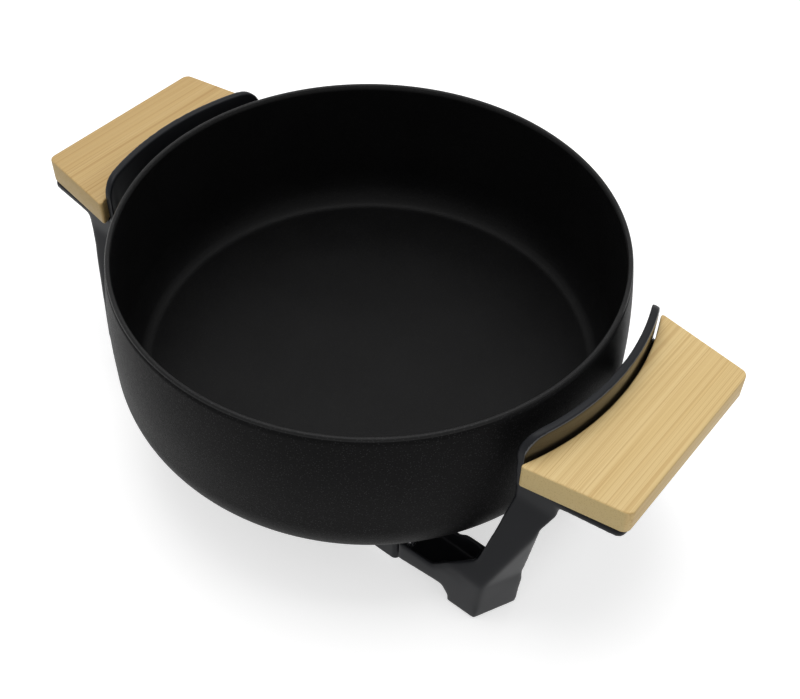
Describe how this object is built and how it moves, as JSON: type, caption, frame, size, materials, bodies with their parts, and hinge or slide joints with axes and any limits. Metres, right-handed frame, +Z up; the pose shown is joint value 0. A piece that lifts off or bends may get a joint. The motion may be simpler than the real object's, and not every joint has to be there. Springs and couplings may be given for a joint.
{
  "type": "electric fondue pot",
  "caption": "Electric fondue pot: round black coated pan that lifts off a heated base on side brackets with curved shields, bamboo grips and splayed legs, and a socket for a plug-in probe.",
  "frame": {"origin": "on the table, under the pan's axis", "axes": "+Z up along the pan's axis, +X from the left grip to the right grip, +Y towards the mains inlet at the back"},
  "size_m": [0.3444, 0.2488, 0.12],
  "materials": {
    "pan_coating": "cast aluminium under a matte black non-stick coating with fine speckle",
    "stand_plastic": "satin anthracite heat-resistant moulding",
    "bamboo": "oiled pale bamboo with straight grain",
    "steel_screws": "zinc-plated",
    "pad_rubber": "matte rubber",
    "cover_steel": "bright sheet steel",
    "cast_aluminium": "die cast, with a fine-turned top",
    "seal_silicone": "matte silicone",
    "heater_steel": "oxidised heater tube",
    "ceramic": "white ceramic",
    "reflector_sheet": "bright rolled sheet",
    "socket_plastic": "satin black thermoset",
    "contact_brass": "bare brass",
    "brown_wire": "silicone insulation",
    "green_wire": "silicone insulation"
  },
  "bodies": {
    "stand": {"right_bracket": "stand_plastic", "left_bracket": "stand_plastic", "right_grip": "bamboo", "left_grip": "bamboo", "grip_screws": "steel_screws", "front_right_foot_pad": "pad_rubber", "front_left_foot_pad": "pad_rubber", "rear_right_foot_pad": "pad_rubber", "rear_left_foot_pad": "pad_rubber", "bracket_screws": "steel_screws", "base_housing": "stand_plastic", "base_cover": "cover_steel", "cover_screws": "steel_screws", "hot_plate": "cast_aluminium", "plate_seal": "seal_silicone", "heating_element": "heater_steel", "element_end_seals": "ceramic", "heat_reflector": "reflector_sheet", "plate_spacers": "cover_steel", "plate_screws": "steel_screws", "inlet_socket": "socket_plastic", "live_pin": "contact_brass", "neutral_pin": "contact_brass", "earth_spring": "contact_brass", "inlet_screws": "steel_screws", "thermal_fuse": "ceramic", "fuse_clamp": "cover_steel", "clamp_screw": "steel_screws", "live_lead": "brown_wire", "fuse_lead": "brown_wire", "neutral_strip": "contact_brass", "earth_lead": "green_wire", "earth_terminal": "contact_brass"},
    "pan": {"pan": "pan_coating"}
  },
  "joints": [
    {"name": "pan_lift", "type": "slide", "parent": "stand", "child": "pan", "axis": [0, 0, 1], "range_m": [0, 0.11]}
  ]
}
